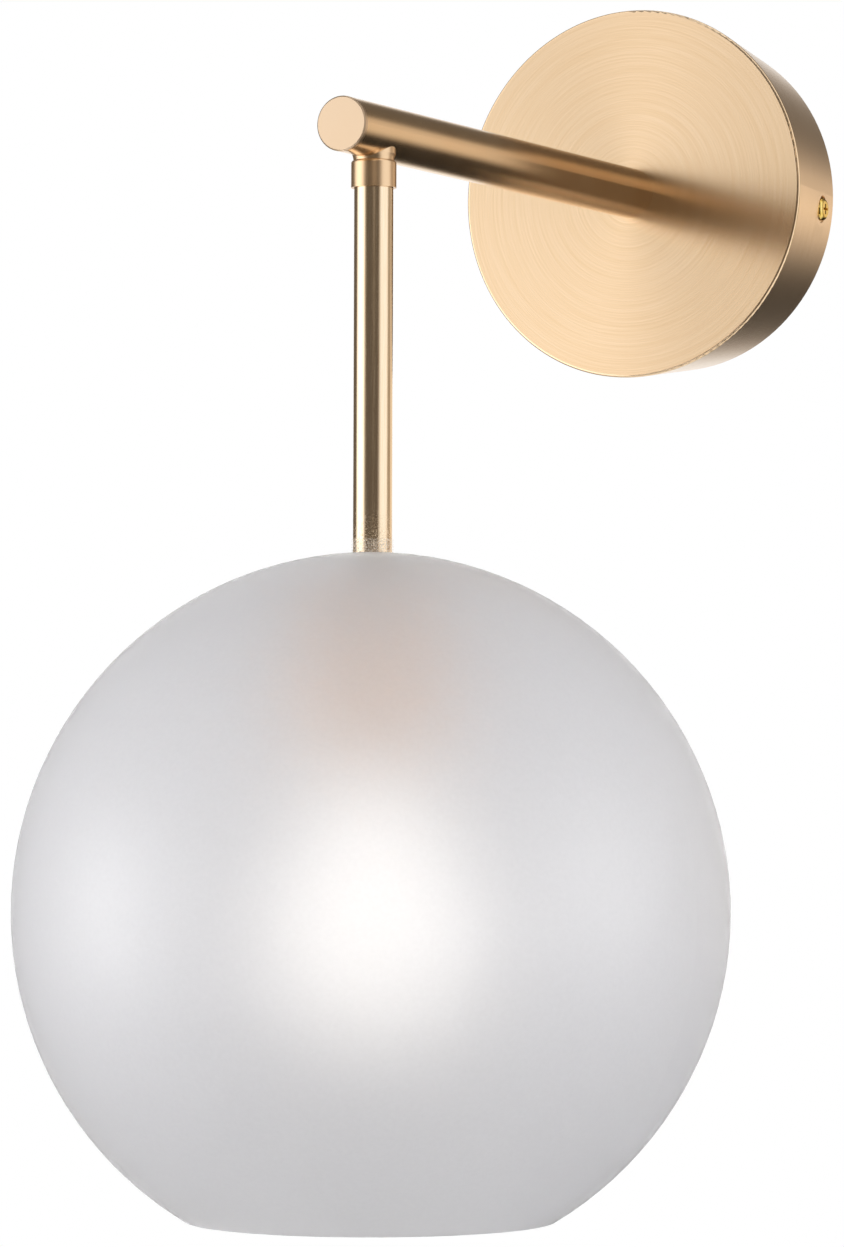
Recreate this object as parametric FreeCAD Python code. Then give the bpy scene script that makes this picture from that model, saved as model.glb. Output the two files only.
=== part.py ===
"""Wall light: round canopy, straight arm, drop tube and a frosted glass globe open at the bottom.

Millimetres.  Origin at the middle of the wall bracket's back, on the wall.
+X to the right, +Y into the wall, +Z up; the arm reaches out along -Y.
"""
import FreeCAD, Part
import math
import os

Vec = FreeCAD.Vector
UP = Vec(0, 0, 1)
RIGHT = Vec(1, 0, 0)
OUT = Vec(0, -1, 0)

# ---- driving dimensions -------------------------------------------------------------

# canopy: a shallow cup, a little narrower at the wall than at its face
canopy_face_r = 57.25
canopy_back_r = 52.5
canopy_depth = 36.5
canopy_wall = 1.2
canopy_edge_r = 0.8

# the two screws in the canopy's side, and the flats pressed for their heads
screw_out = 11.0
screw_drop = 5.0
screw_r = 2.0
screw_head_r = 3.5
screw_head_h = 2.2
screw_seat_r = 4.2
screw_reach = 3.0
head_round = 0.5
tip_clear = 0.2

# wall bracket: a steel strip with an ear bent up at each end
strip_half_h = 10.0
strip_t = 1.5
strip_bend_r = 1.5
ear_out = 17.0
ear_gap = 0.6
wall_slot_spacing = 64.0
wall_slot_len = 14.0
wall_slot_r = 2.3

# terminal block, three poles side by side
pole_pitch = 8.0
pole_count = 3
block_half_h = 8.5
block_t = 12.0
block_end = 1.2
block_floor = 2.5
block_well_r = 2.2
sleeve_r = 2.3
sleeve_bore_r = 1.25
sleeve_inset = 1.0
clamp_screw_r = 1.3
clamp_screw_up = 4.8
clamp_screw_sunk = 1.6
clamp_slot_w = 0.5
clamp_slot_deep = 0.8
block_screw_r = 1.5
block_screw_head_r = 2.7
block_screw_head_h = 1.8

# earth screw with its ring tag, on the strip beside the block
earth_x = 18.0
earth_screw_r = 2.0
earth_head_r = 3.4
earth_head_h = 2.4
earth_tag_r = 3.8
earth_tag_t = 0.8
earth_barrel_r = 1.9
earth_barrel_from = 5.2
earth_barrel_len = 5.0
earth_lead_stop = 1.5

# arm: a round tube closed by a plug at its end
arm_r = 7.75
arm_wall = 1.0
arm_reach = 184.0
cap_flange = 1.5
cap_spigot = 5.0
cap_chamfer = 0.4
bush_len = 12.0
nipple_grip = 11.0
nipple_tail = 2.0

# threaded lamp tube size that every joint along the cable's way shares
thread_r = 5.0
cable_bore_r = 4.0
washer_t = 1.0
washer_r = 9.0
washer_teeth = 10
washer_slot = 1.6
nut_flats = 14.0
nut_t = 3.5
nut_bevel = 0.6

# collar under the arm's end
drop_behind_end = 19.0
collar_r = 6.35
collar_bottom = 16.0
collar_shoulder = 8.3
collar_shoulder_r = 0.8
collar_neck_r = 5.75
collar_mouth_r = 6.2
collar_flare = 1.8
flare_bow_r = 0.3
flare_bow_z = 0.55
collar_socket = 4.0

# drop tube
drop_r = 5.5
drop_spigot = 3.8
drop_tail_gap = 1.0

# globe
globe_centre_drop = 218.2
globe_r = 100.0
glass_t = 3.0
mouth_r = 51.0
glass_hole_r = 6.1
bush_above = 3.6
bush_wall = 0.45

# washers under the glass
seat_r = 14.0
seat_edge_t = 1.2
support_t = 1.5

# lampholder
cup_r = 20.0
cup_wall = 0.8
cup_len = 47.6
cup_shoulder_r = 5.0
boss_r = 7.0
boss_len = 7.0
bridge_t = 1.5
bridge_half_len = 16.0
bridge_half_w = 6.0
post_len = 6.3
post_x = 11.5
post_half_x = 3.2
post_half_y = 4.5
base_gap = 0.3
base_inset = 1.0
base_floor = 4.0
shell_r = 14.0
shell_wall = 0.5
shell_len = 22.0
shell_below_floor = 2.0
holder_screw_r = 1.5
holder_screw_head_r = 2.7
holder_screw_head_h = 1.6
holder_screw_len = 6.0
holder_pilot_spare = 0.5
terminal_y = 9.6
terminal_half_x = 3.4
terminal_half_y = 2.6
terminal_h = 4.6
terminal_bore_r = 1.25
terminal_bore_up = 2.2
terminal_screw_r = 1.3
terminal_screw_h = 1.4
tongue_half_w = 3.5
tongue_t = 0.5
tongue_len = 13.0
tongue_dip = 3.2
rivet_r = 1.2
rivet_end = 0.8

# bulb
tip_gap = 0.3
tip_r = 4.8
tip_h = 1.4
insulator_r = 9.6
insulator_h = 3.2
bulb_cap_r = 13.1
bulb_cap_len = 21.5
bulb_cap_t = 0.4
bulb_cap_slope = 0.6
bulb_len = 104.0
envelope_r = 30.0
envelope_t = 1.2
envelope_neck_r = 14.5
envelope_neck_up = 40.0
collar_skirt_r = 13.9
collar_skirt_len = 4.0
collar_plug_len = 4.0

# leads
lead_r = 1.1
lead_spread = 1.6
lead_seat = 2.5
lead_bend_share = 0.45
lead_loop = 14.0
lead_loop_rise = 1.0
lead_turn_clear = 5.0
lead_lift = 0.6
lead_sag_from = 0.33
lead_sag_to = 0.62
lead_rise_before = 22.0
lead_rise = 0.4
lead_top = 4.4
lead_sway = 0.9
earth_loop = 17.0
earth_loop_rise = 2.0

# clearances
thread_clear = 0.02
slide_clear = 0.05
hole_clear = 0.2

# how far a cutting shape runs past what it cuts, and how near two sizes count as one
past = 1.0
same = 1e-6

# ---- sizes that follow -----------------------------------------------------------------

arm_end = canopy_depth + arm_reach
drop_y = -(arm_end - drop_behind_end)
glass_top_z = -(globe_centre_drop - globe_r)
glass_in_r = globe_r - glass_t
seat_top_z = glass_top_z - glass_t
seat_sag = glass_in_r - math.sqrt(glass_in_r ** 2 - seat_r ** 2)
seat_bottom_z = seat_top_z - seat_sag - seat_edge_t
support_bottom_z = seat_bottom_z - support_t
cup_top_z = support_bottom_z - nut_t
cup_bottom_z = cup_top_z - cup_len
boss_top_z = cup_top_z - cup_wall
bridge_top_z = boss_top_z - boss_len
post_top_z = bridge_top_z - bridge_t
base_top_z = post_top_z - post_len
base_floor_z = base_top_z - base_floor
base_bottom_z = cup_bottom_z + base_inset
shell_top_z = base_floor_z - shell_below_floor
shell_bottom_z = shell_top_z - shell_len
tongue_low_z = base_floor_z - tongue_dip - tongue_t
tip_z = tongue_low_z - tip_gap
cap_top_z = tip_z - tip_h - insulator_h
cap_bottom_z = cap_top_z - bulb_cap_len
envelope_z = tip_z - bulb_len + envelope_r
skirt_z = cap_bottom_z - collar_skirt_len
envelope_neck_z = envelope_z + envelope_neck_up
nipple_end = canopy_depth - canopy_wall - washer_t - nut_t - nipple_tail
base_r = cup_r - cup_wall - base_gap


# ---- helpers ------------------------------------------------------------------------------

def from_wall(shape):
    """Turn a shape drawn with +Z pointing out from the wall and +Y up into its place."""
    shape.rotate(Vec(0, 0, 0), RIGHT, 90)
    return shape


def hanging(shape):
    """Move a shape drawn on the Z axis to the drop tube's axis."""
    shape.translate(Vec(0, drop_y, 0))
    return shape


def rod(radius, low, high, x=0.0, y=0.0):
    return Part.makeCylinder(radius, high - low, Vec(x, y, low), UP)


def ring(bore, radius, low, high):
    return rod(radius, low, high).cut(rod(bore, low - past, high + past))


def block(x0, x1, y0, y1, z0, z1):
    return Part.makeBox(x1 - x0, y1 - y0, z1 - z0, Vec(x0, y0, z0))


def spun(edges):
    """Revolve a closed outline of edges, drawn in the XZ plane, about the Z axis."""
    outline = Part.Wire(Part.__sortEdges__(edges))
    return Part.Face(outline).revolve(Vec(0, 0, 0), UP, 360)


def line(x0, z0, x1, z1):
    return Part.makeLine(Vec(x0, 0, z0), Vec(x1, 0, z1))


def arc(x0, z0, xm, zm, x1, z1):
    return Part.Arc(Vec(x0, 0, z0), Vec(xm, 0, zm), Vec(x1, 0, z1)).toShape()


def circle_edges(shape, radius, z):
    """Full-circle edges of a given radius about Z at a given height."""
    found = []
    for edge in shape.Edges:
        if not isinstance(edge.Curve, Part.Circle):
            continue
        if abs(edge.Curve.Radius - radius) < same and abs(edge.Curve.Center.z - z) < same:
            found.append(edge)
    return found


def pan_screw(shank_r, tip, seat, head_r, head_h, x):
    """A screw along Z at x whose round-edged head sits on a seat."""
    shank = rod(shank_r, tip, seat, x)
    head = rod(head_r, seat, seat + head_h, x)
    head = head.makeFillet(head_h * head_round, circle_edges(head, head_r, seat + head_h))
    return shank.fuse(head).removeSplitter()


def hex_nut(low, height):
    """A nut with its corners turned off at both ends."""
    corner = nut_flats / math.sqrt(3)
    points = [Vec(corner * math.cos(math.radians(60 * k)), corner * math.sin(math.radians(60 * k)), low)
              for k in range(7)]
    prism = Part.Face(Part.makePolygon(points)).extrude(UP * height)
    turned = rod(corner, low, low + height)
    bevel = corner - nut_flats / 2
    ends = circle_edges(turned, corner, low) + circle_edges(turned, corner, low + height)
    turned = turned.makeChamfer(bevel * nut_bevel, ends)
    return prism.common(turned).cut(rod(thread_r + thread_clear, low - past, low + height + past))


def cable(points, radius):
    """A tube along straight runs joined by the largest tangent arcs that the runs allow."""
    path = []
    start = points[0]
    for before, corner, after in zip(points, points[1:], points[2:]):
        back = before - corner
        ahead = after - corner
        shorter = min(back.Length, ahead.Length)
        half_turn = (math.pi - back.getAngle(ahead)) / 2
        trim = lead_bend_share * shorter
        bend = trim / math.tan(half_turn)
        back.normalize()
        ahead.normalize()
        middle = back + ahead
        middle.normalize()
        centre = corner + middle * (bend / math.cos(half_turn))
        top = centre - middle * bend
        enter = corner + back * trim
        leave = corner + ahead * trim
        path.append(Part.makeLine(start, enter))
        path.append(Part.Arc(enter, top, leave).toShape())
        start = leave
        print("    bend radius %.1f" % bend)
    path.append(Part.makeLine(start, points[-1]))
    spine = Part.Wire(path)
    heading = points[1] - points[0]
    section = Part.Wire(Part.Circle(points[0], heading, radius).toShape())
    tube = spine.makePipeShell([section], True, False)
    expected = math.pi * radius ** 2 * spine.Length
    print("    length %.1f, volume ratio %.4f" % (spine.Length, tube.Volume / expected))
    return tube


def join(shapes):
    whole = shapes[0]
    for shape in shapes[1:]:
        whole = whole.fuse(shape)
    return whole.removeSplitter()


def group(shapes):
    return Part.makeCompound(shapes)


# ---- canopy and wall bracket -----------------------------------------------------------------

canopy_flare = (canopy_face_r - canopy_back_r) / canopy_depth
slant_wall = canopy_wall * math.sqrt(1 + canopy_flare ** 2)
seat_near_r = canopy_back_r + canopy_flare * (screw_out - screw_seat_r)
seat_x = math.sqrt(seat_near_r ** 2 - (screw_drop + screw_seat_r) ** 2)
mouth_in_r = canopy_back_r - slant_wall
ear_x = math.sqrt((mouth_in_r - ear_gap) ** 2 - strip_half_h ** 2)


def canopy():
    outer = Part.makeCone(canopy_back_r, canopy_face_r, canopy_depth)
    outer = outer.makeFillet(canopy_edge_r, circle_edges(outer, canopy_face_r, canopy_depth))
    inside_depth = canopy_depth - canopy_wall
    inside_r = canopy_back_r + canopy_flare * inside_depth - slant_wall
    inner = Part.makeCone(mouth_in_r, inside_r, inside_depth)
    inner = inner.makeFillet(canopy_edge_r, circle_edges(inner, inside_r, inside_depth))
    cup = outer.cut(inner)
    for side in (1, -1):
        foot = Vec(side * (seat_x - canopy_wall), -screw_drop, screw_out)
        outward = RIGHT * side
        pad = Part.makeCylinder(screw_seat_r + canopy_wall, canopy_face_r, foot, outward)
        seat = foot + outward * canopy_wall
        pocket = Part.makeCylinder(screw_seat_r, canopy_face_r, seat, outward)
        hole = Part.makeCylinder(screw_r + hole_clear, canopy_face_r, foot - outward, outward)
        cup = cup.fuse(pad.common(outer)).cut(pocket).cut(hole)
    cup = cup.cut(rod(thread_r + hole_clear, 0, canopy_depth + past))
    return from_wall(cup.removeSplitter())


def canopy_screws():
    screws = []
    for side in (1, -1):
        seat = Vec(side * seat_x, -screw_drop, screw_out)
        inward = RIGHT * -side
        shank_len = seat_x - ear_x + strip_t + screw_reach
        shank = Part.makeCylinder(screw_r, shank_len, seat, inward)
        crown_r = (screw_head_r ** 2 + screw_head_h ** 2) / (2 * screw_head_h)
        ball = Part.makeSphere(crown_r, seat + inward * (crown_r - screw_head_h))
        head = Part.makeCylinder(screw_head_r, screw_head_h + past, seat, inward * -1).common(ball)
        screws.append(from_wall(head.fuse(shank).removeSplitter()))
    return group(screws)


def slot(x, length, radius, height):
    reach = length / 2 - radius
    middle = block(x - reach, x + reach, -radius, radius, -past, height)
    return join([middle, rod(radius, -past, height, x - reach), rod(radius, -past, height, x + reach)])


def wall_bracket():
    body = block(-ear_x, ear_x, -strip_half_h, strip_half_h, 0, ear_out)
    outer_bend = strip_t + strip_bend_r
    foot_edges = [e for e in body.Edges
                  if abs(abs(e.CenterOfMass.x) - ear_x) < same and abs(e.CenterOfMass.z) < same]
    body = body.makeFillet(outer_bend, foot_edges)
    hollow_x = ear_x - strip_t
    hollow = block(-hollow_x, hollow_x, -strip_half_h - past, strip_half_h + past, strip_t, ear_out + past)
    bend_edges = [e for e in hollow.Edges
                  if abs(abs(e.CenterOfMass.x) - hollow_x) < same and abs(e.CenterOfMass.z - strip_t) < same]
    body = body.cut(hollow.makeFillet(strip_bend_r, bend_edges))
    corners = [e for e in body.Edges
               if abs(e.BoundBox.XLength - strip_t) < same and abs(e.CenterOfMass.z - ear_out) < same]
    body = body.makeFillet(screw_seat_r, corners)
    for side in (1, -1):
        tapped = Part.makeCylinder(screw_r + thread_clear, strip_t * 3,
                                   Vec(side * (ear_x - strip_t * 2), -screw_drop, screw_out), RIGHT * side)
        body = body.cut(tapped).cut(slot(side * wall_slot_spacing / 2, wall_slot_len, wall_slot_r, ear_out))
    body = body.cut(rod(earth_screw_r + thread_clear, -past, ear_out, earth_x))
    body = body.cut(rod(block_screw_r + thread_clear, -past, ear_out, block_screw_x))
    return from_wall(body)


# ---- terminal block and earth -------------------------------------------------------------------

block_half_w = pole_pitch * pole_count / 2 + block_end
block_front = strip_t + block_t
pole_xs = [pole_pitch * (k - (pole_count - 1) / 2) for k in range(pole_count)]
block_screw_x = (pole_xs[0] + pole_xs[1]) / 2
pole_out = strip_t + block_floor + sleeve_r


def terminal_block():
    body = block(-block_half_w, block_half_w, -block_half_h, block_half_h, strip_t, block_front)
    upright = [e for e in body.Edges if abs(e.BoundBox.ZLength - block_t) < same]
    body = body.makeFillet(block_end, upright)
    for x in pole_xs:
        tunnel = Part.makeCylinder(sleeve_r + slide_clear, (block_half_h + past) * 2,
                                   Vec(x, -block_half_h - past, pole_out), Vec(0, 1, 0))
        body = body.cut(tunnel)
        for side in (1, -1):
            well = rod(block_well_r, pole_out, block_front + past, x, side * clamp_screw_up)
            body = body.cut(well)
    body = body.cut(rod(block_screw_r + hole_clear, 0, block_front + past, block_screw_x))
    return from_wall(body)


def terminal_sleeves():
    sleeves = []
    half = block_half_h - sleeve_inset
    for x in pole_xs:
        start = Vec(x, -half, pole_out)
        tube = Part.makeCylinder(sleeve_r, half * 2, start, Vec(0, 1, 0))
        tube = tube.cut(Part.makeCylinder(sleeve_bore_r, half * 2, start, Vec(0, 1, 0)))
        for side in (1, -1):
            tube = tube.cut(rod(clamp_screw_r + thread_clear, pole_out, block_front, x, side * clamp_screw_up))
        sleeves.append(from_wall(tube))
    return group(sleeves)


def terminal_screws():
    screws = []
    for x in pole_xs:
        for side in (1, -1):
            y = side * clamp_screw_up
            foot = pole_out + sleeve_bore_r
            body = rod(clamp_screw_r, foot, block_front - clamp_screw_sunk, x, y)
            driver = block(x - block_well_r, x + block_well_r, y - clamp_slot_w / 2, y + clamp_slot_w / 2,
                           block_front - clamp_screw_sunk - clamp_slot_deep, block_front)
            screws.append(from_wall(body.cut(driver)))
    return group(screws)


def block_screw():
    return from_wall(pan_screw(block_screw_r, tip_clear, block_front, block_screw_head_r, block_screw_head_h,
                               block_screw_x))


def earth_tag():
    flat = rod(earth_tag_r, strip_t, strip_t + earth_tag_t, earth_x)
    neck = block(earth_x - earth_barrel_r, earth_x + earth_barrel_r, 0, earth_barrel_from + past,
                 strip_t, strip_t + earth_tag_t)
    barrel_z = strip_t + earth_barrel_r
    barrel = Part.makeCylinder(earth_barrel_r, earth_barrel_len,
                               Vec(earth_x, earth_barrel_from, barrel_z), Vec(0, 1, 0))
    tag = join([flat, neck, barrel]).cut(rod(earth_screw_r + hole_clear, 0, ear_out, earth_x))
    bore = Part.makeCylinder(lead_r + slide_clear, earth_barrel_len,
                             Vec(earth_x, earth_barrel_from + earth_lead_stop, barrel_z), Vec(0, 1, 0))
    return from_wall(tag.cut(bore))


def earth_screw():
    return from_wall(pan_screw(earth_screw_r, tip_clear, strip_t + earth_tag_t, earth_head_r, earth_head_h,
                               earth_x))


# ---- arm -----------------------------------------------------------------------------------------

def arm_tube():
    tube = ring(arm_r - arm_wall, arm_r, canopy_depth, arm_end - cap_flange)
    way_down = Part.makeCylinder(cable_bore_r + slide_clear, arm_r * 2, Vec(0, 0, -drop_y), Vec(0, -1, 0))
    return from_wall(tube.cut(way_down))


def arm_end_cap():
    flange = rod(arm_r, arm_end - cap_flange, arm_end)
    flange = flange.makeChamfer(cap_chamfer, circle_edges(flange, arm_r, arm_end))
    spigot = rod(arm_r - arm_wall - slide_clear, arm_end - cap_flange - cap_spigot, arm_end - cap_flange)
    return from_wall(flange.fuse(spigot).removeSplitter())


def arm_bush():
    bush = ring(thread_r + thread_clear, arm_r - arm_wall - slide_clear, canopy_depth, canopy_depth + bush_len)
    return from_wall(bush)


def arm_nipple():
    return from_wall(ring(cable_bore_r, thread_r, nipple_end, canopy_depth + nipple_grip))


def arm_washer():
    top = canopy_depth - canopy_wall
    disc = ring(thread_r + hole_clear, washer_r, top - washer_t, top)
    for k in range(washer_teeth):
        notch = block(washer_r - washer_slot, washer_r + past, -washer_slot / 2, washer_slot / 2,
                      top - washer_t - past, top + past)
        notch.rotate(Vec(0, 0, 0), UP, 360 * k / washer_teeth)
        disc = disc.cut(notch)
    return from_wall(disc)


def arm_nut():
    return from_wall(hex_nut(canopy_depth - canopy_wall - washer_t - nut_t, nut_t))


def collar():
    body = ring(drop_r + slide_clear, collar_r, -collar_bottom, -collar_bottom + collar_socket)
    upper = ring(thread_r + thread_clear, collar_r, -collar_bottom + collar_socket, -collar_shoulder)
    upper = upper.makeFillet(collar_shoulder_r, circle_edges(upper, collar_r, -collar_shoulder))
    bore = thread_r + thread_clear
    bend_r = collar_neck_r + (collar_mouth_r - collar_neck_r) * flare_bow_r
    bend_z = -collar_shoulder + collar_flare * flare_bow_z
    flare_z = -collar_shoulder + collar_flare
    neck = spun([
        line(bore, -collar_shoulder, collar_neck_r, -collar_shoulder),
        arc(collar_neck_r, -collar_shoulder, bend_r, bend_z, collar_mouth_r, flare_z),
        line(collar_mouth_r, flare_z, collar_mouth_r, 0),
        line(collar_mouth_r, 0, bore, 0),
        line(bore, 0, bore, -collar_shoulder)])
    whole = hanging(join([body, upper, neck]))
    arm_space = Part.makeCylinder(arm_r, collar_r * 4, Vec(0, drop_y + collar_r * 2, 0), OUT)
    return whole.cut(arm_space)


def drop_tube():
    socket_top = -collar_bottom + collar_socket
    body = rod(drop_r, seat_bottom_z, socket_top)
    spigot = rod(thread_r, socket_top, socket_top + drop_spigot)
    tail = rod(thread_r, bridge_top_z + drop_tail_gap, seat_bottom_z)
    bore = rod(cable_bore_r, bridge_top_z, 0)
    return hanging(join([body, spigot, tail]).cut(bore))


# ---- globe and what carries it ----------------------------------------------------------------

def glass_globe():
    centre_z = -globe_centre_drop
    lip_r = glass_t / 2
    mid_r = globe_r - lip_r
    lip_drop = math.sqrt(mid_r ** 2 - mouth_r ** 2)
    side = Vec(mouth_r / mid_r, 0, -lip_drop / mid_r)
    lip = Vec(mouth_r, 0, -lip_drop)
    round_off = lip + Vec(-side.z, 0, side.x) * -lip_r
    outer_top = math.sqrt(globe_r ** 2 - glass_hole_r ** 2)
    inner_top = math.sqrt(glass_in_r ** 2 - glass_hole_r ** 2)
    outer_lip = lip + side * lip_r
    inner_lip = lip - side * lip_r
    shell = spun([
        line(glass_hole_r, inner_top, glass_hole_r, outer_top),
        arc(glass_hole_r, outer_top, globe_r, 0, outer_lip.x, outer_lip.z),
        arc(outer_lip.x, outer_lip.z, round_off.x, round_off.z, inner_lip.x, inner_lip.z),
        arc(inner_lip.x, inner_lip.z, glass_in_r, 0, glass_hole_r, inner_top)])
    shell.translate(Vec(0, 0, centre_z))
    return hanging(shell)


def glass_bush():
    bore = drop_r + thread_clear
    return hanging(ring(bore, bore + bush_wall, seat_top_z, glass_top_z + bush_above))


def seat_washer():
    """Soft washer whose top is moulded to the inside of the glass."""
    bore = drop_r + hole_clear
    bore_top = seat_top_z - (glass_in_r - math.sqrt(glass_in_r ** 2 - bore ** 2))
    rim_z = seat_top_z - seat_sag
    half_r = (bore + seat_r) / 2
    half_z = seat_top_z - (glass_in_r - math.sqrt(glass_in_r ** 2 - half_r ** 2))
    return hanging(spun([
        line(bore, seat_bottom_z, seat_r, seat_bottom_z),
        line(seat_r, seat_bottom_z, seat_r, rim_z),
        arc(seat_r, rim_z, half_r, half_z, bore, bore_top),
        line(bore, bore_top, bore, seat_bottom_z)]))


def support_washer():
    return hanging(ring(thread_r + hole_clear, seat_r, support_bottom_z, seat_bottom_z))


def support_nut():
    return hanging(hex_nut(cup_top_z, nut_t))


# ---- lampholder ------------------------------------------------------------------------------------

def holder_cup():
    outer = rod(cup_r, cup_bottom_z, cup_top_z)
    outer = outer.makeFillet(cup_shoulder_r, circle_edges(outer, cup_r, cup_top_z))
    inner_r = cup_r - cup_wall
    inner = rod(inner_r, cup_bottom_z - past, boss_top_z)
    inner = inner.makeFillet(cup_shoulder_r - cup_wall, circle_edges(inner, inner_r, boss_top_z))
    hole = rod(thread_r + hole_clear, boss_top_z - past, cup_top_z + past)
    return hanging(outer.cut(inner).cut(hole))


def holder_bridge():
    boss = rod(boss_r, bridge_top_z, boss_top_z)
    strap = block(-bridge_half_len, bridge_half_len, -bridge_half_w, bridge_half_w, post_top_z, bridge_top_z)
    strap = strap.common(rod(bridge_half_len, post_top_z, bridge_top_z))
    bridge = join([boss, strap])
    bridge = bridge.cut(rod(thread_r + thread_clear, bridge_top_z, boss_top_z + past))
    bridge = bridge.cut(rod(cable_bore_r, post_top_z - past, bridge_top_z + past))
    for side in (1, -1):
        hole = rod(holder_screw_r + hole_clear, post_top_z - past, bridge_top_z + past, side * post_x)
        bridge = bridge.cut(hole)
    return hanging(bridge)


def holder_screws():
    tip = bridge_top_z - holder_screw_len
    return group([hanging(pan_screw(holder_screw_r, tip, bridge_top_z, holder_screw_head_r,
                                    holder_screw_head_h, side * post_x)) for side in (1, -1)])


def holder_base():
    body = rod(base_r, base_bottom_z, base_top_z)
    for side in (1, -1):
        x = side * post_x
        post = block(x - post_half_x, x + post_half_x, -post_half_y, post_half_y, base_top_z, post_top_z)
        body = body.fuse(post)
    body = body.removeSplitter()
    body = body.cut(rod(shell_r + slide_clear, base_bottom_z - past, base_floor_z))
    for side in (1, -1):
        pilot_end = bridge_top_z - holder_screw_len - holder_pilot_spare
        pilot = rod(holder_screw_r + thread_clear, pilot_end, post_top_z + past, side * post_x)
        rivet = rod(rivet_r + slide_clear, base_floor_z - past, base_top_z + past, 0, side * terminal_y)
        body = body.cut(pilot).cut(rivet)
    return hanging(body)


def holder_terminals():
    terminals = []
    top = base_top_z + terminal_h
    for side in (1, -1):
        y = side * terminal_y
        body = block(-terminal_half_x, terminal_half_x, y - terminal_half_y, y + terminal_half_y,
                     base_top_z, top)
        body = body.cut(rod(rivet_r + slide_clear, base_top_z - past, base_top_z + rivet_end, 0, y))
        screw = rod(terminal_screw_r, top, top + terminal_screw_h, 0, y)
        bore = Part.makeCylinder(terminal_bore_r, lead_seat,
                                 Vec(side * -lead_spread, y - side * terminal_half_y,
                                     base_top_z + terminal_bore_up), Vec(0, side, 0))
        terminals.append(hanging(body.fuse(screw).cut(bore)))
    return group(terminals)


def holder_shell():
    """Screw shell with the strap that comes up through the base to its terminal."""
    shell = ring(shell_r - shell_wall, shell_r, shell_bottom_z, shell_top_z)
    strap_y = shell_r - shell_wall
    strap = block(-rivet_r, rivet_r, strap_y, strap_y + shell_wall, shell_top_z, base_floor_z)
    foot = block(-rivet_r, rivet_r, terminal_y - rivet_r, strap_y + shell_wall, base_floor_z - shell_wall,
                 base_floor_z)
    rivet = rod(rivet_r, base_floor_z - shell_wall, base_top_z + rivet_end, 0, terminal_y)
    inside = rod(shell_r, shell_top_z - past, base_floor_z)
    return hanging(join([shell, strap.common(inside), foot.common(inside), rivet]))


def holder_contact():
    """Spring tongue under the base's floor, riveted up to the other terminal."""
    back = -terminal_y - rivet_r
    front = back + tongue_len
    knee = -terminal_y + rivet_r * 2
    low = base_floor_z - tongue_dip
    outline = Part.makePolygon([
        Vec(-tongue_half_w, back, base_floor_z),
        Vec(-tongue_half_w, knee, base_floor_z),
        Vec(-tongue_half_w, -tongue_half_w, low),
        Vec(-tongue_half_w, front, low),
        Vec(-tongue_half_w, front, low - tongue_t),
        Vec(-tongue_half_w, -tongue_half_w - tongue_t / 2, low - tongue_t),
        Vec(-tongue_half_w, knee - tongue_t / 2, base_floor_z - tongue_t),
        Vec(-tongue_half_w, back, base_floor_z - tongue_t),
        Vec(-tongue_half_w, back, base_floor_z)])
    leaf = Part.Face(outline).extrude(RIGHT * tongue_half_w * 2)
    rivet = rod(rivet_r, base_floor_z - tongue_t, base_top_z + rivet_end, 0, -terminal_y)
    return hanging(join([leaf, rivet]))


# ---- bulb ------------------------------------------------------------------------------------------

def bulb_contact():
    crown = (tip_r ** 2 + tip_h ** 2) / (2 * tip_h)
    return hanging(rod(tip_r, tip_z - tip_h, tip_z).common(Part.makeSphere(crown, Vec(0, 0, tip_z - crown))))


def bulb_insulator():
    top = tip_z - tip_h
    return hanging(Part.makeCone(insulator_r, tip_r, insulator_h, Vec(0, 0, top - insulator_h)))


def bulb_cap():
    """Screw cap, drawn in over the insulator at its top."""
    shoulder = cap_top_z - (bulb_cap_r - insulator_r) * bulb_cap_slope
    outer = spun([
        line(0, cap_top_z, insulator_r, cap_top_z),
        line(insulator_r, cap_top_z, bulb_cap_r, shoulder),
        line(bulb_cap_r, shoulder, bulb_cap_r, cap_bottom_z),
        line(bulb_cap_r, cap_bottom_z, 0, cap_bottom_z),
        line(0, cap_bottom_z, 0, cap_top_z)])
    inner = rod(bulb_cap_r - bulb_cap_t, cap_bottom_z - past, shoulder - bulb_cap_t)
    return hanging(outer.cut(inner))


def bulb_housing():
    """White collar between the screw cap and the glass, with a plug up into the cap."""
    plug_r = bulb_cap_r - bulb_cap_t - slide_clear
    skirt = rod(collar_skirt_r, skirt_z, cap_bottom_z)
    return hanging(join([skirt, rod(plug_r, cap_bottom_z, cap_bottom_z + collar_plug_len)]))


def envelope_outline(inset):
    """Half outline of the pear shape, a distance inside its outer face: neck, hollow curve, ball."""
    ball = envelope_r - inset
    neck = envelope_neck_r - inset
    hollow = (envelope_neck_up ** 2 + neck ** 2 - ball ** 2) / (2 * (ball - neck))
    turn = math.atan2(envelope_neck_up, neck + hollow)
    join_r = ball * math.cos(turn)
    join_z = envelope_z + ball * math.sin(turn)
    bow_r = neck + hollow - hollow * math.cos(turn / 2)
    bow_z = envelope_neck_z - hollow * math.sin(turn / 2)
    low = envelope_z - ball
    return [
        line(neck, skirt_z, neck, envelope_neck_z),
        arc(neck, envelope_neck_z, bow_r, bow_z, join_r, join_z),
        arc(join_r, join_z, ball, envelope_z, 0, low)]


def bulb_envelope():
    """Opal glass, a pear shape open at the top of its neck."""
    low = envelope_z - envelope_r
    rim = line(envelope_neck_r - envelope_t, skirt_z, envelope_neck_r, skirt_z)
    foot = line(0, low, 0, low + envelope_t)
    return hanging(spun(envelope_outline(0) + envelope_outline(envelope_t) + [rim, foot]))


# ---- leads -----------------------------------------------------------------------------------------

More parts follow.
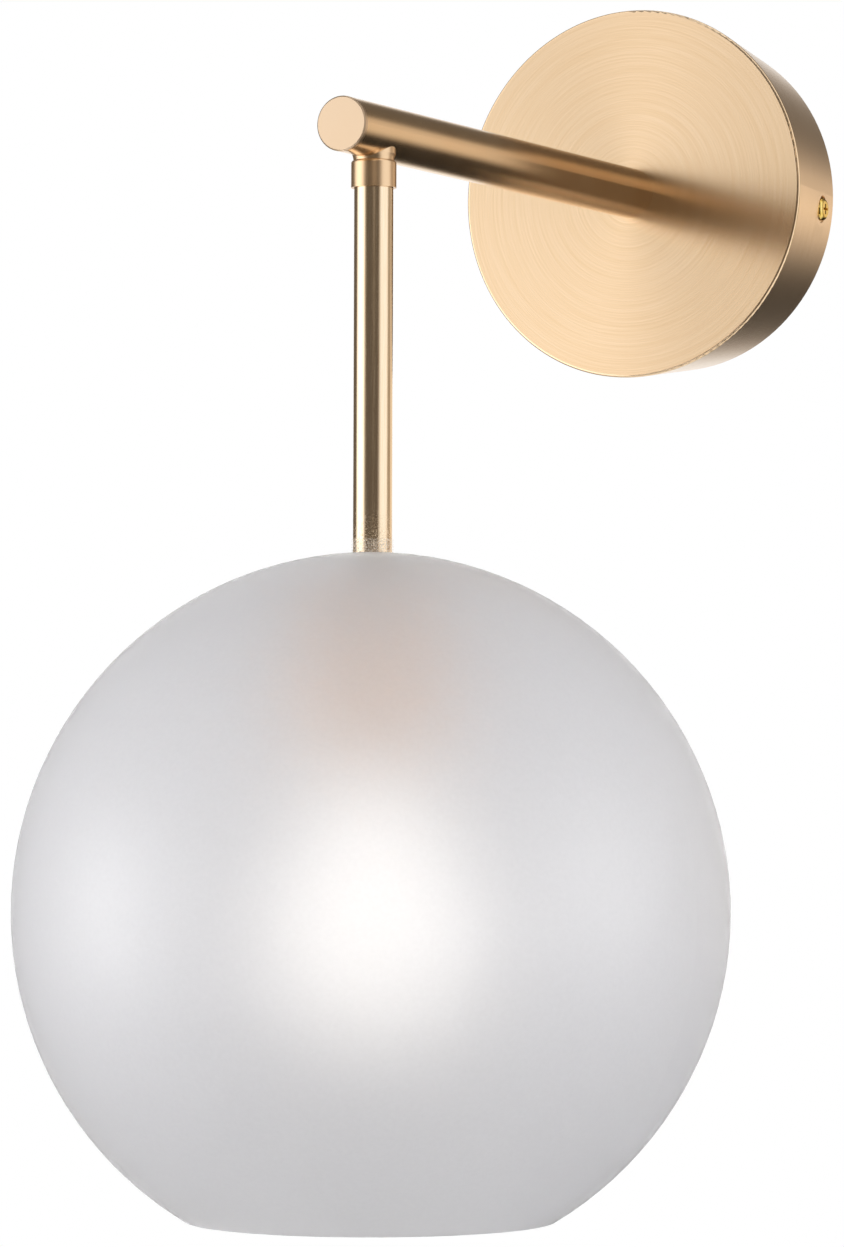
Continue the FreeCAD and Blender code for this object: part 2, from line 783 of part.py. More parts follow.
arm_in_r = arm_r - arm_wall
lead_low = math.sqrt((arm_in_r - lead_r) ** 2 - lead_spread ** 2) - hole_clear
entry_z = block_half_h - sleeve_inset - lead_seat
loop_z = block_half_h + lead_loop
wire_z = base_top_z + terminal_bore_up


def supply_route(side):
    """From a pole of the block, over, through the arm and down the tube to the holder."""
    x = side * lead_spread
    pole_x = side * pole_pitch
    turn_y = -(nipple_end - lead_turn_clear)
    tube_mid = (seat_bottom_z - collar_bottom) / 2
    terminal = side * -1
    return [
        Vec(pole_x, -pole_out, entry_z),
        Vec(pole_x, -pole_out, loop_z),
        Vec((pole_x + x) / 2, turn_y, loop_z + lead_loop_rise),
        Vec(x, turn_y, 0),
        Vec(x, -canopy_depth - nipple_grip, 0),
        Vec(x, -canopy_depth - arm_reach * lead_sag_from, -lead_low + lead_lift),
        Vec(x, -canopy_depth - arm_reach * lead_sag_to, -lead_low),
        Vec(x, drop_y + lead_rise_before, lead_rise),
        Vec(x, drop_y, lead_top),
        Vec(x, drop_y, -collar_bottom),
        Vec(x, drop_y + lead_sway, tube_mid),
        Vec(x, drop_y, seat_bottom_z),
        Vec(x, drop_y, wire_z),
        Vec(x, drop_y + terminal * (terminal_y - terminal_half_y + lead_seat - slide_clear), wire_z)]


def earth_route():
    barrel_out = strip_t + earth_barrel_r
    top_z = block_half_h + earth_loop
    return [
        Vec(0, -pole_out, entry_z),
        Vec(0, -pole_out, top_z),
        Vec(earth_x, -barrel_out, top_z + earth_loop_rise),
        Vec(earth_x, -barrel_out, earth_barrel_from + earth_lead_stop)]


def live_lead():
    return cable(supply_route(-1), lead_r)


def neutral_lead():
    return cable(supply_route(1), lead_r)


def earth_lead():
    return cable(earth_route(), lead_r)


# ---- build -----------------------------------------------------------------------------------------

PIECES = [
    wall_bracket, canopy, canopy_screws, terminal_block, terminal_sleeves, terminal_screws, block_screw,
    earth_tag, earth_screw, arm_tube, arm_end_cap, arm_bush, arm_nipple, arm_washer, arm_nut, collar,
    drop_tube, glass_globe, glass_bush, seat_washer, support_washer, support_nut, holder_cup,
    holder_bridge, holder_screws, holder_base, holder_terminals, holder_shell, holder_contact,
    bulb_contact, bulb_insulator, bulb_cap, bulb_housing, bulb_envelope, live_lead, neutral_lead,
    earth_lead]

os.makedirs("parts", exist_ok=True)
for make in PIECES:
    print(make.__name__)
    shape = make()
    if not shape.isValid():
        print("    NOT VALID")
    shape.exportStep("parts/" + make.__name__ + ".step")
    print("    solids %d, volume %.1f mm3" % (len(shape.Solids), shape.Volume))
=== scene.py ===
"""Wall light with a hanging frosted globe: camera, studio, canopy screws and finishes."""
import bpy
import math
from mathutils import Matrix, Vector


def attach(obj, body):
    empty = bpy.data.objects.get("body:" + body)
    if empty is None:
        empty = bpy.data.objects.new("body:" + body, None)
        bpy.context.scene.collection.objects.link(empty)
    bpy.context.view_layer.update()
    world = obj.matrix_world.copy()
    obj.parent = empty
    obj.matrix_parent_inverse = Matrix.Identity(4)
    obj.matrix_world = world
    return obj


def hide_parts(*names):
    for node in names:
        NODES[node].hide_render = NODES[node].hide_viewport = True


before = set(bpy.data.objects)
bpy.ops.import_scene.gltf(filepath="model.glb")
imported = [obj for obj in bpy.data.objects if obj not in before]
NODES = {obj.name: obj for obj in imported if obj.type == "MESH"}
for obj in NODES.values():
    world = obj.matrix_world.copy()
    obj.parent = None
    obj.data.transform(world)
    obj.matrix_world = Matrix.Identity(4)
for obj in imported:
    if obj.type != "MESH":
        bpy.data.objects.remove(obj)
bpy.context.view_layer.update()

MM = 0.001

# ---- camera -------------------------------------------------------------------------------

IMAGE_WIDTH = 844
IMAGE_HEIGHT = 1247
FOCAL_PX = 4955.5
CENTRE_PX = (483.5, 552.4)
CAMERA_AT = Vector((666.6, -1413.8, -181.4)) * MM
CAMERA_YAW = math.radians(27.521)
CAMERA_PITCH = math.radians(2.617)
CAMERA_ROLL = math.radians(0.133)
SENSOR_MM = 36.0


def place_camera():
    """Stand the camera where the photograph was taken: to the right, a little low, looking left and up."""
    data = bpy.data.cameras.new("camera")
    data.sensor_width = SENSOR_MM
    data.lens = FOCAL_PX * SENSOR_MM / IMAGE_HEIGHT
    data.shift_x = (IMAGE_WIDTH / 2 - CENTRE_PX[0]) / IMAGE_HEIGHT
    data.shift_y = (CENTRE_PX[1] - IMAGE_HEIGHT / 2) / IMAGE_HEIGHT
    camera = bpy.data.objects.new("camera", data)
    bpy.context.collection.objects.link(camera)
    turn = Matrix.Rotation(CAMERA_YAW, 4, "Z")
    tilt = Matrix.Rotation(math.radians(90) + CAMERA_PITCH, 4, "X")
    roll = Matrix.Rotation(CAMERA_ROLL, 4, "Z")
    camera.matrix_world = Matrix.Translation(CAMERA_AT) @ turn @ tilt @ roll
    bpy.context.scene.camera = camera


# ---- helpers for places, nodes and colours -------------------------------------------------

# noise values mostly lie between these two
NOISE_LOW = 0.3
NOISE_HIGH = 0.7


def paint(code):
    """Linear colour of an sRGB hex code."""
    channels = [int(code[k:k + 2], 16) / 255 for k in (1, 3, 5)]
    linear = [c / 12.92 if c <= 0.04045 else ((c + 0.055) / 1.055) ** 2.4 for c in channels]
    return (*linear, 1.0)


def add(tree, kind, values=None, links=None, **settings):
    """Add one shader node with its settings, socket values and incoming links."""
    made = tree.nodes.new("ShaderNode" + kind)
    for name, value in settings.items():
        setattr(made, name, value)
    for name, value in (values or {}).items():
        made.inputs[name].default_value = value
    for name, source in (links or {}).items():
        tree.links.new(source, made.inputs[name])
    return made


def new_material(name):
    """A new material and its tree, which starts empty."""
    material = bpy.data.materials.new(name)
    material.use_nodes = True
    tree = material.node_tree
    tree.nodes.clear()
    return material, tree


def finish_with(tree, shader):
    """Link the last shader to the material's output."""
    add(tree, "OutputMaterial", links={"Surface": shader.outputs[0]})


def noise(tree, where, size_mm, detail=2.0):
    """Fractal noise whose grain has a size in millimetres."""
    return add(tree, "TexNoise", {"Scale": 1 / (size_mm * MM), "Detail": detail},
               {"Vector": where}).outputs["Fac"]


def scaled(tree, value, start, end, low=0.0, high=1.0):
    """A value that goes from low to high as the given one goes from start to end, and stays within them."""
    ramp = add(tree, "MapRange", {"From Min": start, "From Max": end, "To Min": low, "To Max": high},
               {"Value": value})
    return ramp.outputs["Result"]


def spread(tree, value, low, high):
    """A noise value stretched between two limits."""
    return scaled(tree, value, NOISE_LOW, NOISE_HIGH, low, high)


def product(tree, values):
    """All the values multiplied."""
    total = values[0]
    for each in values[1:]:
        total = add(tree, "Math", links={0: total, 1: each}, operation="MULTIPLY").outputs["Value"]
    return total


def mix(tree, value, first, second):
    """A colour between two, each a constant or an output."""
    mixed = add(tree, "Mix", links={"Factor": value}, data_type="RGBA")
    sockets = [s for s in mixed.inputs if s.name in ("A", "B") and s.type == "RGBA"]
    for socket, colour in zip(sockets, (first, second)):
        if isinstance(colour, tuple):
            socket.default_value = colour
        else:
            tree.links.new(colour, socket)
    return [s for s in mixed.outputs if s.type == "RGBA"][0]


def tint(tree, value, first, second):
    """A colour between two hex colours."""
    return mix(tree, value, paint(first), paint(second))


def extent(name):
    """Lowest and highest corner of a CAD node."""
    places = [NODES[name].matrix_world @ v.co for v in NODES[name].data.vertices]
    low = Vector([min(p[k] for p in places) for k in range(3)])
    high = Vector([max(p[k] for p in places) for k in range(3)])
    return low, high


def dress(material, *names):
    """Give CAD nodes a material."""
    for name in names:
        for k in range(len(NODES[name].material_slots)):
            NODES[name].material_slots[k].material = material


# ---- studio -----------------------------------------------------------------------------------

# a white floor far below, which fades into the studio between two shares of its radius
FLOOR_Z = -1600 * MM
FLOOR_RADIUS = 900 * MM
FLOOR_UNDER = (0.0, -150 * MM)
FLOOR_FADE_FROM = 0.35
FLOOR_FADE_TO = 0.9
FLOOR_SIDES = 96

# the room's brightness on matt surfaces, and as brass and glass mirror it
ROOM_LEVEL = 0.92
MIRROR_LEVEL = 1.15

# round cards in the room: azimuth, elevation, inner and outer radius in degrees,
# and the brightness in the middle
CAMERA_COLUMN = (-68, 0, 32, 54, 0.11)
LEFT_COLUMN = (160, 0, 20, 34, 0.12)
RIGHT_COLUMN = (45, 0, 6, 16, 0.4)
HIGH_CORNER = (84, 34, 16, 32, 0.12)
LOW_CORNER = (84, -34, 20, 38, 0.02)
LEFT_PANEL = (-141, -8, 8, 34, 1.7)
CAMERA_PANEL = (-58, 23, 8, 17, 7.0)
CARD_PAINT = "#FFEBD4"

# the warm wall has a mask instead of a brightness: 1 in its middle, 0 outside
WARM_WALL = (62, 4, 16, 40, 1.0, 0.0)
WARM_PAINT = "#E8D6C0"

# soft boxes: azimuth and elevation in degrees, distance and width in metres, power in watts
LEFT_BOX = (-145, -3, 1.8, 0.8, 25.0)
RIGHT_BOX = (12, 2, 1.8, 0.9, 25.0)
HIGH_BOX = (-80, 60, 1.8, 1.2, 15.0)
BOX_AIM = Vector((0, -150, -120)) * MM


def heading(azimuth, elevation):
    """Unit vector towards an azimuth from +X and an elevation, both in degrees."""
    a = math.radians(azimuth)
    e = math.radians(elevation)
    return Vector((math.cos(a) * math.cos(e), math.sin(a) * math.cos(e), math.sin(e)))


def card(tree, direction, azimuth, elevation, inner, outer, middle, rim=1.0):
    """A round card seen in a direction: its value in the middle, which fades to the rim's."""
    near = add(tree, "VectorMath", {1: heading(azimuth, elevation)}, {0: direction}, operation="DOT_PRODUCT")
    return add(tree, "MapRange", {"From Min": math.cos(math.radians(outer)),
                                  "From Max": math.cos(math.radians(inner)),
                                  "To Min": rim, "To Max": middle},
               {"Value": near.outputs["Value"]}, interpolation_type="SMOOTHSTEP").outputs["Result"]


def studio_light(tree, glossy):
    """What lights the object: a white room with dark cards and corners, bright panels and a warm wall."""
    direction = add(tree, "TexCoord").outputs["Generated"]
    flat = add(tree, "VectorMath", {1: (1, 1, 0)}, {0: direction}, operation="MULTIPLY").outputs["Vector"]
    level = add(tree, "VectorMath", links={0: flat}, operation="NORMALIZE").outputs["Vector"]
    dark = product(tree, [card(tree, level, *CAMERA_COLUMN), card(tree, level, *LEFT_COLUMN),
                          card(tree, level, *RIGHT_COLUMN), card(tree, direction, *HIGH_CORNER),
                          card(tree, direction, *LOW_CORNER)])
    room = scaled(tree, glossy, 0.0, 1.0, ROOM_LEVEL, MIRROR_LEVEL)
    strength = product(tree, [room, dark, card(tree, direction, *LEFT_PANEL),
                              card(tree, direction, *CAMERA_PANEL)])
    wall = tint(tree, card(tree, direction, *WARM_WALL), "#FFFFFF", WARM_PAINT)
    colour = mix(tree, dark, paint(CARD_PAINT), wall)
    return add(tree, "Background", links={"Color": colour, "Strength": strength})


def make_world():
    """White studio, pure white to the camera and through glass, and full of cards for what it lights."""
    world = bpy.data.worlds.new("studio")
    bpy.context.scene.world = world
    world.use_nodes = True
    tree = world.node_tree
    tree.nodes.clear()
    path = add(tree, "LightPath")
    plain = add(tree, "Background", {"Color": (1, 1, 1, 1), "Strength": 1.0})
    lit = studio_light(tree, path.outputs["Is Glossy Ray"])
    seen = add(tree, "Math", links={0: path.outputs["Is Camera Ray"], 1: path.outputs["Is Transmission Ray"]},
               operation="MAXIMUM").outputs["Value"]
    both = add(tree, "MixShader", links={0: seen, 1: lit.outputs[0], 2: plain.outputs[0]})
    add(tree, "OutputWorld", links={"Surface": both.outputs[0]})


def soft_box(name, azimuth, elevation, distance, size, power):
    """A square soft box that looks at the middle of the light, and that no brass mirrors."""
    data = bpy.data.lights.new(name, "AREA")
    data.size = size
    data.energy = power
    lamp = bpy.data.objects.new(name, data)
    lamp.visible_glossy = False
    bpy.context.collection.objects.link(lamp)
    outward = heading(azimuth, elevation)
    turned = outward.to_track_quat("Z", "Y").to_matrix().to_4x4()
    lamp.matrix_world = Matrix.Translation(BOX_AIM + outward * distance) @ turned


def make_floor():
    """Pale floor under the light; its rim fades into the white studio."""
    bpy.ops.mesh.primitive_circle_add(vertices=FLOOR_SIDES, radius=FLOOR_RADIUS, fill_type="NGON",
                                      location=(*FLOOR_UNDER, FLOOR_Z))
    floor = bpy.context.active_object
    floor.name = "floor"
    material, tree = new_material("matt white paper")
    where = add(tree, "TexCoord").outputs["Object"]
    out = add(tree, "VectorMath", links={0: where}, operation="LENGTH").outputs["Value"]
    rim = add(tree, "MapRange", {"From Min": FLOOR_RADIUS * FLOOR_FADE_FROM,
                                 "From Max": FLOOR_RADIUS * FLOOR_FADE_TO},
              {"Value": out}, interpolation_type="SMOOTHSTEP").outputs["Result"]
    fade = product(tree, [rim, add(tree, "LightPath").outputs["Is Camera Ray"]])
    paper = add(tree, "BsdfPrincipled", {"Base Color": paint("#F4F4F2"), "Roughness": 0.9})
    white = add(tree, "Emission", {"Strength": 1.0})
    mixed = add(tree, "MixShader", links={0: fade, 1: paper.outputs[0], 2: white.outputs[0]})
    finish_with(tree, mixed)
    floor.data.materials.append(material)


# ---- canopy screws -------------------------------------------------------------------------

# M4 screws with a round head, as high as the CAD's
SHANK_RADIUS = 2.0 * MM
HEAD_HEIGHT = 2.2 * MM
HEAD_EDGE = 1.3 * MM
HEAD_EDGE_STEPS = 10
HEAD_SIDES = 64
CROSS_LENGTH = 3.2 * MM
CROSS_WIDTH = 0.7 * MM
CROSS_DEPTH = 1.1 * MM
THREAD_PITCH = 0.7 * MM
SHANK_SIDES = 32
SMOOTH_BELOW = math.radians(32)
MERGE_WITHIN = 0.001 * MM
ON_ITS_SIDE = (0, math.radians(90), 0)


def alone():
    """Leave nothing selected, so that an operator acts on the new piece only."""
    bpy.ops.object.select_all(action="DESELECT")


def edit(piece, choose):
    """Open a piece in edit mode with the faces that choose picks by their place and normal."""
    for element in [*piece.data.vertices, *piece.data.edges, *piece.data.polygons]:
        element.select = False
    for face in piece.data.polygons:
        face.select = choose(face)
    bpy.ops.object.mode_set(mode="EDIT")
    bpy.ops.mesh.select_mode(type="FACE")


def apply_modifier(piece, kind, **settings):
    """Add one modifier to a piece and apply it."""
    bpy.context.view_layer.objects.active = piece
    made = piece.modifiers.new(kind.lower(), kind)
    for name, value in settings.items():
        setattr(made, name, value)
    bpy.ops.object.modifier_apply(modifier=made.name)


def settle(piece):
    """Put a piece's place into its mesh, merge doubles and turn the faces outward."""
    alone()
    piece.select_set(True)
    bpy.context.view_layer.objects.active = piece
    bpy.ops.object.transform_apply(location=True, rotation=True, scale=True)
    bpy.ops.object.mode_set(mode="EDIT")
    bpy.ops.mesh.select_all(action="SELECT")
    bpy.ops.mesh.remove_doubles(threshold=MERGE_WITHIN)
    bpy.ops.mesh.normals_make_consistent(inside=False)
    bpy.ops.object.mode_set(mode="OBJECT")
    bpy.ops.object.shade_smooth_by_angle(angle=SMOOTH_BELOW)


def screw_head(seat, out, radius, height):
    """Round head with a cross recess in its crown."""
    alone()
    bpy.ops.mesh.primitive_cylinder_add(vertices=HEAD_SIDES, radius=radius, depth=height,
                                        location=seat + out * height / 2, rotation=ON_ITS_SIDE)
    head = bpy.context.active_object
    bpy.ops.object.transform_apply(location=True, rotation=True, scale=True)
    edit(head, lambda face: face.normal.dot(out) > 0.9)
    bpy.ops.mesh.bevel(offset=HEAD_EDGE, segments=HEAD_EDGE_STEPS, affect="EDGES")
    bpy.ops.object.mode_set(mode="OBJECT")
    for length, width in ((CROSS_LENGTH, CROSS_WIDTH), (CROSS_WIDTH, CROSS_LENGTH)):
        alone()
        bpy.ops.mesh.primitive_cube_add(size=1, location=seat + out * height,
                                        scale=(2 * CROSS_DEPTH, length, width))
        cutter = bpy.context.active_object
        apply_modifier(head, "BOOLEAN", operation="DIFFERENCE", object=cutter)
        bpy.data.objects.remove(cutter)
    return head


def screw_core(seat, out, radius, length):
    """The shank inside the thread, with a chamfered tip."""
    alone()
    bpy.ops.mesh.primitive_cylinder_add(vertices=SHANK_SIDES, radius=radius, depth=length,
                                        location=seat - out * length / 2, rotation=ON_ITS_SIDE)
    core = bpy.context.active_object
    bpy.ops.object.transform_apply(location=True, rotation=True, scale=True)
    edit(core, lambda face: face.normal.dot(out) < -0.9)
    bpy.ops.mesh.bevel(offset=THREAD_PITCH / 2, segments=1, affect="EDGES")
    bpy.ops.object.mode_set(mode="OBJECT")
    return core


def screw_thread(seat, out, radius, length):
    """One V of thread wound round the shank by its pitch."""
    alone()
    depth = THREAD_PITCH / 2
    turns = int(length / THREAD_PITCH) - 1
    bpy.ops.mesh.primitive_circle_add(vertices=4, radius=depth, location=(radius - depth, 0, depth),
                                      rotation=(math.radians(90), 0, 0))
    thread = bpy.context.active_object
    bpy.ops.object.transform_apply(location=True, rotation=True, scale=True)
    inner = min(thread.data.vertices, key=lambda v: v.co.x).index
    for element in [*thread.data.vertices, *thread.data.edges]:
        element.select = False
    thread.data.vertices[inner].select = True
    bpy.ops.object.mode_set(mode="EDIT")
    bpy.ops.mesh.select_mode(type="VERT")
    bpy.ops.mesh.delete(type="VERT")
    bpy.ops.object.mode_set(mode="OBJECT")
    apply_modifier(thread, "SCREW", axis="Z", screw_offset=THREAD_PITCH, iterations=turns,
                   steps=SHANK_SIDES, render_steps=SHANK_SIDES, use_merge_vertices=True)
    thread.rotation_euler = (0, math.radians(-90) * out.x, 0)
    thread.location = seat
    return thread


def side_screws(brass):
    """The two cross-recessed screws that hold the canopy on its bracket."""
    node = NODES["canopy_screws"]
    low, high = extent("canopy_screws")
    seat_x = high.x - HEAD_HEIGHT
    length = seat_x - min(abs((node.matrix_world @ v.co).x) for v in node.data.vertices)
    radius = (high.y - low.y) / 2
    for side, name in ((1, "right_side_screw"), (-1, "left_side_screw")):
        out = Vector((side, 0, 0))
        seat = Vector((side * seat_x, (low.y + high.y) / 2, (low.z + high.z) / 2))
        head = screw_head(seat, out, radius, HEAD_HEIGHT)
        core = screw_core(seat, out, SHANK_RADIUS - THREAD_PITCH / 2, length)
        thread = screw_thread(seat, out, SHANK_RADIUS, length)
        alone()
        for part in (core, thread, head):
            part.select_set(True)
        bpy.context.view_layer.objects.active = head
        bpy.ops.object.join()
        settle(head)
        head.name = name
        head.data.materials.append(brass)
        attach(head, "fitting")
        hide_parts("canopy_screws")


# ---- finishes -----------------------------------------------------------------------------------

# the canopy's brushing: grain across and along the rings, its depth, and how far light spreads across it
BRUSH_GRAIN_MM = 0.35
BRUSH_ARC_MM = 28.0
BRUSH_DEPTH = 0.01 * MM
BRUSH_STRENGTH = 0.016
BRUSH_SPREAD = 0.8
BRUSH_TURN = 0.25

# the face's two roughnesses, the smoother side wall's, and where the surface turns from wall to face
FACE_ROUGHNESS = (0.23, 0.255)
WALL_ROUGHNESS = 0.16
WALL_FACING = -0.3
FACE_FACING = -0.95

# hair scratches along the drop tube: width, width and length
HAIR_MM = (0.4, 0.4, 9.0)
TUBE_ROUGHNESS = (0.12, 0.19)

# dull specks on the tube's last stretch above the glass, and on the clear bush
SPECK_MM = 0.4
SPECK_FROM = 0.5
SPECK_FULL = 0.62
SPECK_REACH = 14 * MM
SPECK_ROUGHNESS = 0.6

# how much the clear bush veils what is behind it: clear, under dust, and round its rim, where a painted pale
# sheen stands in for the rim's reflection
CLEAR_VEIL = 0.03
DUST_VEIL = 0.4
PAINTED_RIM_SHEEN = 0.35

# moulded grain
MOULD_DEPTH = 0.03 * MM
MOULD_STRENGTH = 0.1

BULB_GLOW = 1.2


def ring_grain(tree):
    """Noise in fine rings round the arm's axis: thin across, long along the turn."""
    where = add(tree, "TexCoord").outputs["Object"]
    across = add(tree, "VectorMath", {1: (1, 0, 1)}, {0: where}, operation="MULTIPLY").outputs["Vector"]
    radius = add(tree, "VectorMath", links={0: across}, operation="LENGTH").outputs["Value"]
    along = add(tree, "SeparateXYZ", links={0: where}).outputs["Y"]
    ring = add(tree, "Math", links={0: radius, 1: along}, operation="SUBTRACT").outputs["Value"]
    fine = add(tree, "Math", {1: 1 / (BRUSH_GRAIN_MM * MM)}, {0: ring}, operation="MULTIPLY").outputs["Value"]
    coarse = add(tree, "VectorMath", {"Scale": 1 / (BRUSH_ARC_MM * MM)}, {0: across}, operation="SCALE")
    lift = add(tree, "VectorMath", {0: (0, 1, 0)}, {"Scale": fine}, operation="SCALE").outputs["Vector"]
    place = add(tree, "VectorMath", links={0: coarse.outputs["Vector"], 1: lift}, operation="ADD")
    return add(tree, "TexNoise", {"Scale": 1.0, "Detail": 3.0, "Roughness": 0.6},
               {"Vector": place.outputs["Vector"]}).outputs["Fac"]


def ring_brushed_brass():
    """Champagne brass plate, brushed on a turntable: fine circles, and light fans out from the middle."""
    material, tree = new_material("ring-brushed champagne brass")
    grain = ring_grain(tree)
    colour = tint(tree, spread(tree, grain, 0.0, 1.0), "#EDCEA6", "#F5DAB8")
    face = spread(tree, grain, *FACE_ROUGHNESS)
    normal = add(tree, "SeparateXYZ", links={0: add(tree, "TexCoord").outputs["Normal"]}).outputs["Y"]
    front = scaled(tree, normal, WALL_FACING, FACE_FACING)
    rough = add(tree, "MapRange", {"To Min": WALL_ROUGHNESS}, {"Value": front, "To Max": face})
    bump = add(tree, "Bump", {"Strength": BRUSH_STRENGTH, "Distance": BRUSH_DEPTH}, {"Height": grain})
    rings = add(tree, "Tangent", direction_type="RADIAL", axis="Y")
    shader = add(tree, "BsdfPrincipled", {"Metallic": 1.0, "Anisotropic": BRUSH_SPREAD,
                                          "Anisotropic Rotation": BRUSH_TURN},
                 {"Base Color": colour, "Roughness": rough.outputs["Result"],
                  "Normal": bump.outputs["Normal"], "Tangent": rings.outputs["Tangent"]})
    finish_with(tree, shader)
    return material


def polished_brass():
    """Drawn tube, polished: clear upright bands of light, hair scratches, and dull specks near the glass."""
    material, tree = new_material("polished champagne brass")
    where = add(tree, "TexCoord").outputs["Object"]
    long_way = add(tree, "Mapping", {"Scale": [1 / (size * MM) for size in HAIR_MM]}, {"Vector": where})
    hair = add(tree, "TexNoise", {"Scale": 1.0}, {"Vector": long_way.outputs["Vector"]}).outputs["Fac"]
    dull = scaled(tree, noise(tree, where, SPECK_MM), SPECK_FROM, SPECK_FULL)
    top = extent("glass_globe")[1].z
    near = scaled(tree, add(tree, "SeparateXYZ", links={0: where}).outputs["Z"], top + SPECK_REACH, top)
    worn = product(tree, [dull, near])
    smooth = spread(tree, hair, *TUBE_ROUGHNESS)
    rough = add(tree, "MapRange", {"To Max": SPECK_ROUGHNESS}, {"Value": worn, "To Min": smooth})
    colour = tint(tree, spread(tree, hair, 0.0, 1.0), "#F2DABA", "#F7E4C8")
    shader = add(tree, "BsdfPrincipled", {"Metallic": 1.0},
                 {"Base Color": colour, "Roughness": rough.outputs["Result"]})
    finish_with(tree, shader)
    return material


def metal(name, first, second, low, high, grain_mm, detail=4.0):
    """Plain metal, a little uneven: two near colours and two near roughnesses in soft clouds."""
    material, tree = new_material(name)
    cloud = noise(tree, add(tree, "TexCoord").outputs["Object"], grain_mm, detail)
    shader = add(tree, "BsdfPrincipled", {"Metallic": 1.0},
                 {"Base Color": tint(tree, spread(tree, cloud, 0.0, 1.0), first, second),
                  "Roughness": spread(tree, cloud, low, high)})
    finish_with(tree, shader)
    return material


def moulded(name, first, second, low, high, grain_mm):
    """Moulded plastic, rubber or ceramic: a nearly even colour over a fine grain."""
    material, tree = new_material(name)
    cloud = noise(tree, add(tree, "TexCoord").outputs["Object"], grain_mm, 4.0)
    bump = add(tree, "Bump", {"Strength": MOULD_STRENGTH, "Distance": MOULD_DEPTH}, {"Height": cloud})
    shader = add(tree, "BsdfPrincipled",
                 links={"Base Color": tint(tree, spread(tree, cloud, 0.0, 1.0), first, second),
                        "Roughness": spread(tree, cloud, low, high), "Normal": bump.outputs["Normal"]})
    finish_with(tree, shader)
    return material


def frosted_glass():
    """Blown soda glass, acid-etched outside: a milky skin that blurs what is inside."""
    material, tree = new_material("acid-etched soda glass")
    etch = noise(tree, add(tree, "TexCoord").outputs["Object"], 1.2, 3.0)
    shader = add(tree, "BsdfPrincipled", {"IOR": 1.5, "Transmission Weight": 0.8},
                 {"Base Color": tint(tree, spread(tree, etch, 0.0, 1.0), "#E6E6E8", "#EAEAEC"),
                  "Roughness": spread(tree, etch, 0.50, 0.56)})
    finish_with(tree, shader)
    return material


def opal_envelope():
    """Opal envelope of the lit bulb: an even warm-white glow."""
    material, tree = new_material("opal polycarbonate, lit")
    cloud = noise(tree, add(tree, "TexCoord").outputs["Object"], 30.0)
    glow = tint(tree, spread(tree, cloud, 0.0, 1.0), "#FFFBF4", "#FFFDF9")
    shader = add(tree, "BsdfPrincipled", {"Roughness": 0.35, "Emission Strength": BULB_GLOW},
                 {"Base Color": glow, "Emission Color": glow})
    finish_with(tree, shader)
    return material


def clear_silicone():
    """Clear silicone bush on the tube: seen through, with specks of dust and a painted pale sheen round its
    rim.
    """
    material, tree = new_material("clear silicone rubber")
    speck = noise(tree, add(tree, "TexCoord").outputs["Object"], SPECK_MM)
    dust = scaled(tree, speck, SPECK_FROM, NOISE_HIGH, CLEAR_VEIL, DUST_VEIL)
    # painted sheen: the bush turns paler and less see-through towards its rim as the surface turns away from
    # view, standing in for its reflection there
    facing = add(tree, "LayerWeight", {"Blend": 0.15}).outputs["Facing"]
    rim_sheen = scaled(tree, facing, 0.6, 1.0, 0.0, PAINTED_RIM_SHEEN)
    dust_and_rim_sheen = add(tree, "Math", links={0: dust, 1: rim_sheen}, operation="MAXIMUM").outputs["Value"]
    shader = add(tree, "BsdfPrincipled", {"Base Color": paint("#EDE6DC"), "Roughness": 0.25},
                 {"Alpha": dust_and_rim_sheen})
    finish_with(tree, shader)
    return material


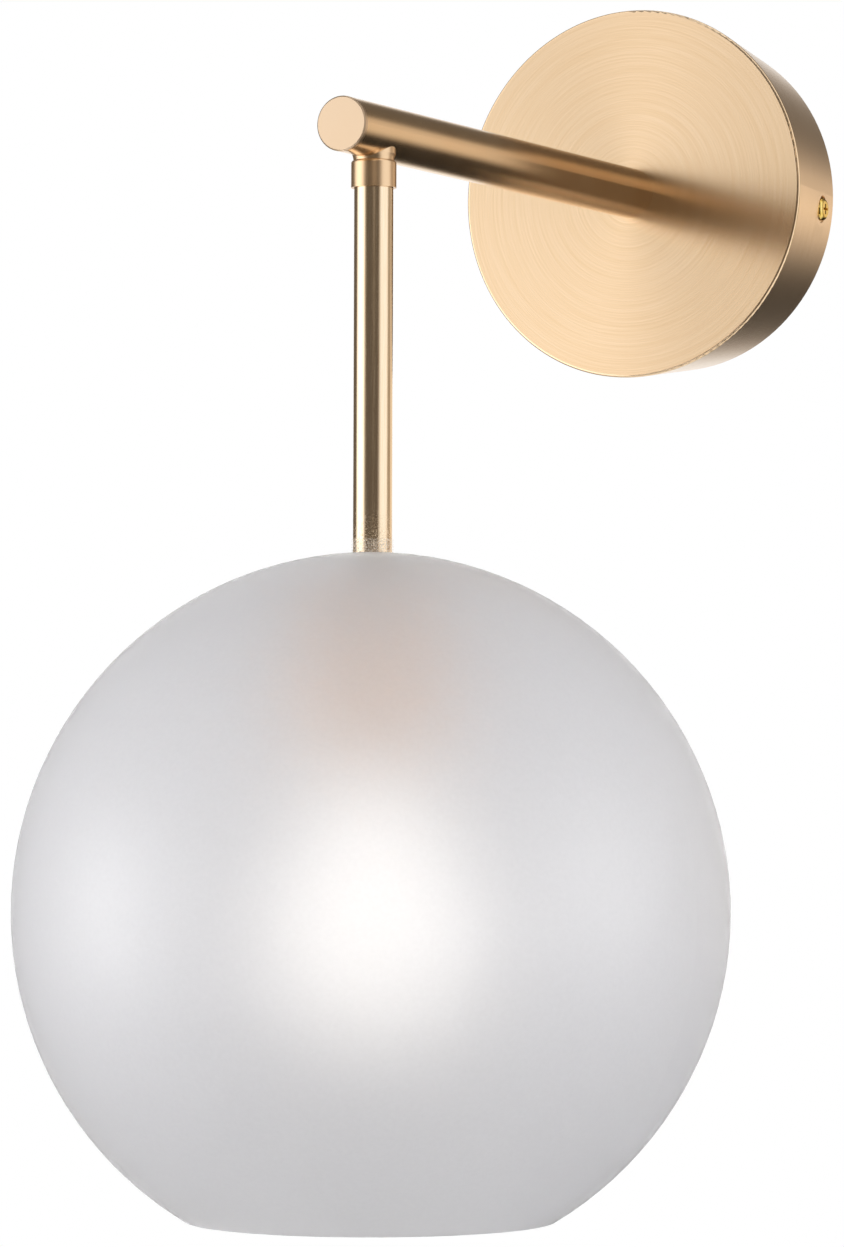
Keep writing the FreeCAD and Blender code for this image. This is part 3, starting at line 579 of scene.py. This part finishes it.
def dress_nodes(screw_brass):
    """Give every CAD node its finish."""
    # brass in view, from the wall outward: satin arm, slightly duller disc and collar, bright tube
    dress(ring_brushed_brass(), "canopy")
    dress(metal("satin champagne brass", "#F0D2AC", "#F3D8B4", 0.225, 0.245, 14.0), "arm_tube")
    dress(metal("satin brass disc", "#E6CBAC", "#EAD0B2", 0.30, 0.34, 14.0), "arm_end_cap")
    dress(metal("satin brass collar", "#E8C8A2", "#ECCEAA", 0.28, 0.32, 14.0), "collar")
    dress(polished_brass(), "drop_tube")
    dress(screw_brass, "canopy_screws", "earth_screw")

    # glass, bush and the lit bulb
    dress(frosted_glass(), "glass_globe")
    dress(clear_silicone(), "glass_bush")
    dress(opal_envelope(), "bulb_envelope")
    dress(moulded("white polycarbonate", "#EFEEEA", "#F7F6F3", 0.35, 0.45, 1.0), "bulb_housing")
    dress(moulded("black glass insulator", "#141414", "#222222", 0.15, 0.3, 2.0), "bulb_insulator")
    dress(metal("nickel-plated brass", "#C8C4BC", "#DAD6CE", 0.15, 0.28, 5.0), "bulb_contact", "bulb_cap")

    # inside: warm lacquered cup, yellow turned brass, grey zinc plating
    dress(metal("lacquered pressed brass", "#C98F52", "#D9A368", 0.3, 0.42, 10.0), "holder_cup")
    dress(metal("bare turned brass", "#C9A052", "#DDB766", 0.25, 0.4, 3.0),
          "terminal_sleeves", "earth_tag", "arm_bush", "arm_nut", "support_nut",
          "holder_terminals", "holder_shell", "holder_contact")
    dress(metal("zinc-plated steel", "#B9BCC0", "#D3D6DA", 0.25, 0.42, 6.0),
          "wall_bracket", "terminal_screws", "block_screw", "arm_nipple", "arm_washer",
          "support_washer", "holder_bridge", "holder_screws")

    # inside: dull rubber, waxy nylon, glossy ceramic and the leads' coloured insulation
    dress(moulded("white silicone rubber", "#E9E7E1", "#F2F0EB", 0.5, 0.62, 1.0), "seat_washer")
    dress(moulded("natural nylon", "#E4E1D3", "#EEEBDF", 0.4, 0.5, 0.8), "terminal_block")
    dress(moulded("white glazed ceramic", "#E9E6DE", "#F3F1EB", 0.2, 0.3, 4.0), "holder_base")
    dress(moulded("brown PVC insulation", "#5A3218", "#663B1F", 0.4, 0.5, 1.0), "live_lead")
    dress(moulded("blue PVC insulation", "#1F56A5", "#2862B2", 0.4, 0.5, 1.0), "neutral_lead")
    dress(moulded("green and yellow PVC insulation", "#2F8A3C", "#D8C52C", 0.4, 0.5, 3.0), "earth_lead")


# ---- the scene ----------------------------------------------------------------------------------

bpy.context.scene.view_settings.view_transform = "Standard"
place_camera()
make_world()
soft_box("left soft box", *LEFT_BOX)
soft_box("right soft box", *RIGHT_BOX)
soft_box("high soft box", *HIGH_BOX)
make_floor()
screw_brass = metal("bright yellow brass plating", "#E3BC5A", "#F3DA86", 0.10, 0.18, 1.5, detail=2.0)
dress_nodes(screw_brass)
side_screws(screw_brass)
